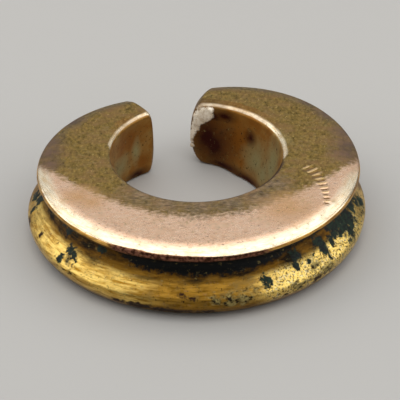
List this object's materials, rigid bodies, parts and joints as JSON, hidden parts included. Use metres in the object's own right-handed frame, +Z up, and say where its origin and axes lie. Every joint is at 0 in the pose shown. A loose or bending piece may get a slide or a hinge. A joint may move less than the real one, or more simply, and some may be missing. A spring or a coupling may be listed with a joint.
{
  "type": "nose ring",
  "caption": "Open C-shaped cast metal nose ring: a flat-topped spool with a thin upper flange, a grooved outer wall, a thick rounded foot and rounded arm ends.",
  "frame": {"origin": "centre of the footprint's bounding box, on the surface that the ring lies on", "axes": "+Z up, along the bore's axis; the gap between the two arms is on +Y; +X towards the right arm as seen from above with the gap at the top"},
  "size_m": [0.0246, 0.0226, 0.0052],
  "materials": {
    "gilt_tumbaga": "cast gold-copper alloy, surface enriched in gold, worn to a coppery polish on the upper flange, with dark green corrosion in the groove and a chalky crust on one end"
  },
  "bodies": {
    "root": {"nose_ring": "gilt_tumbaga"}
  },
  "joints": []
}
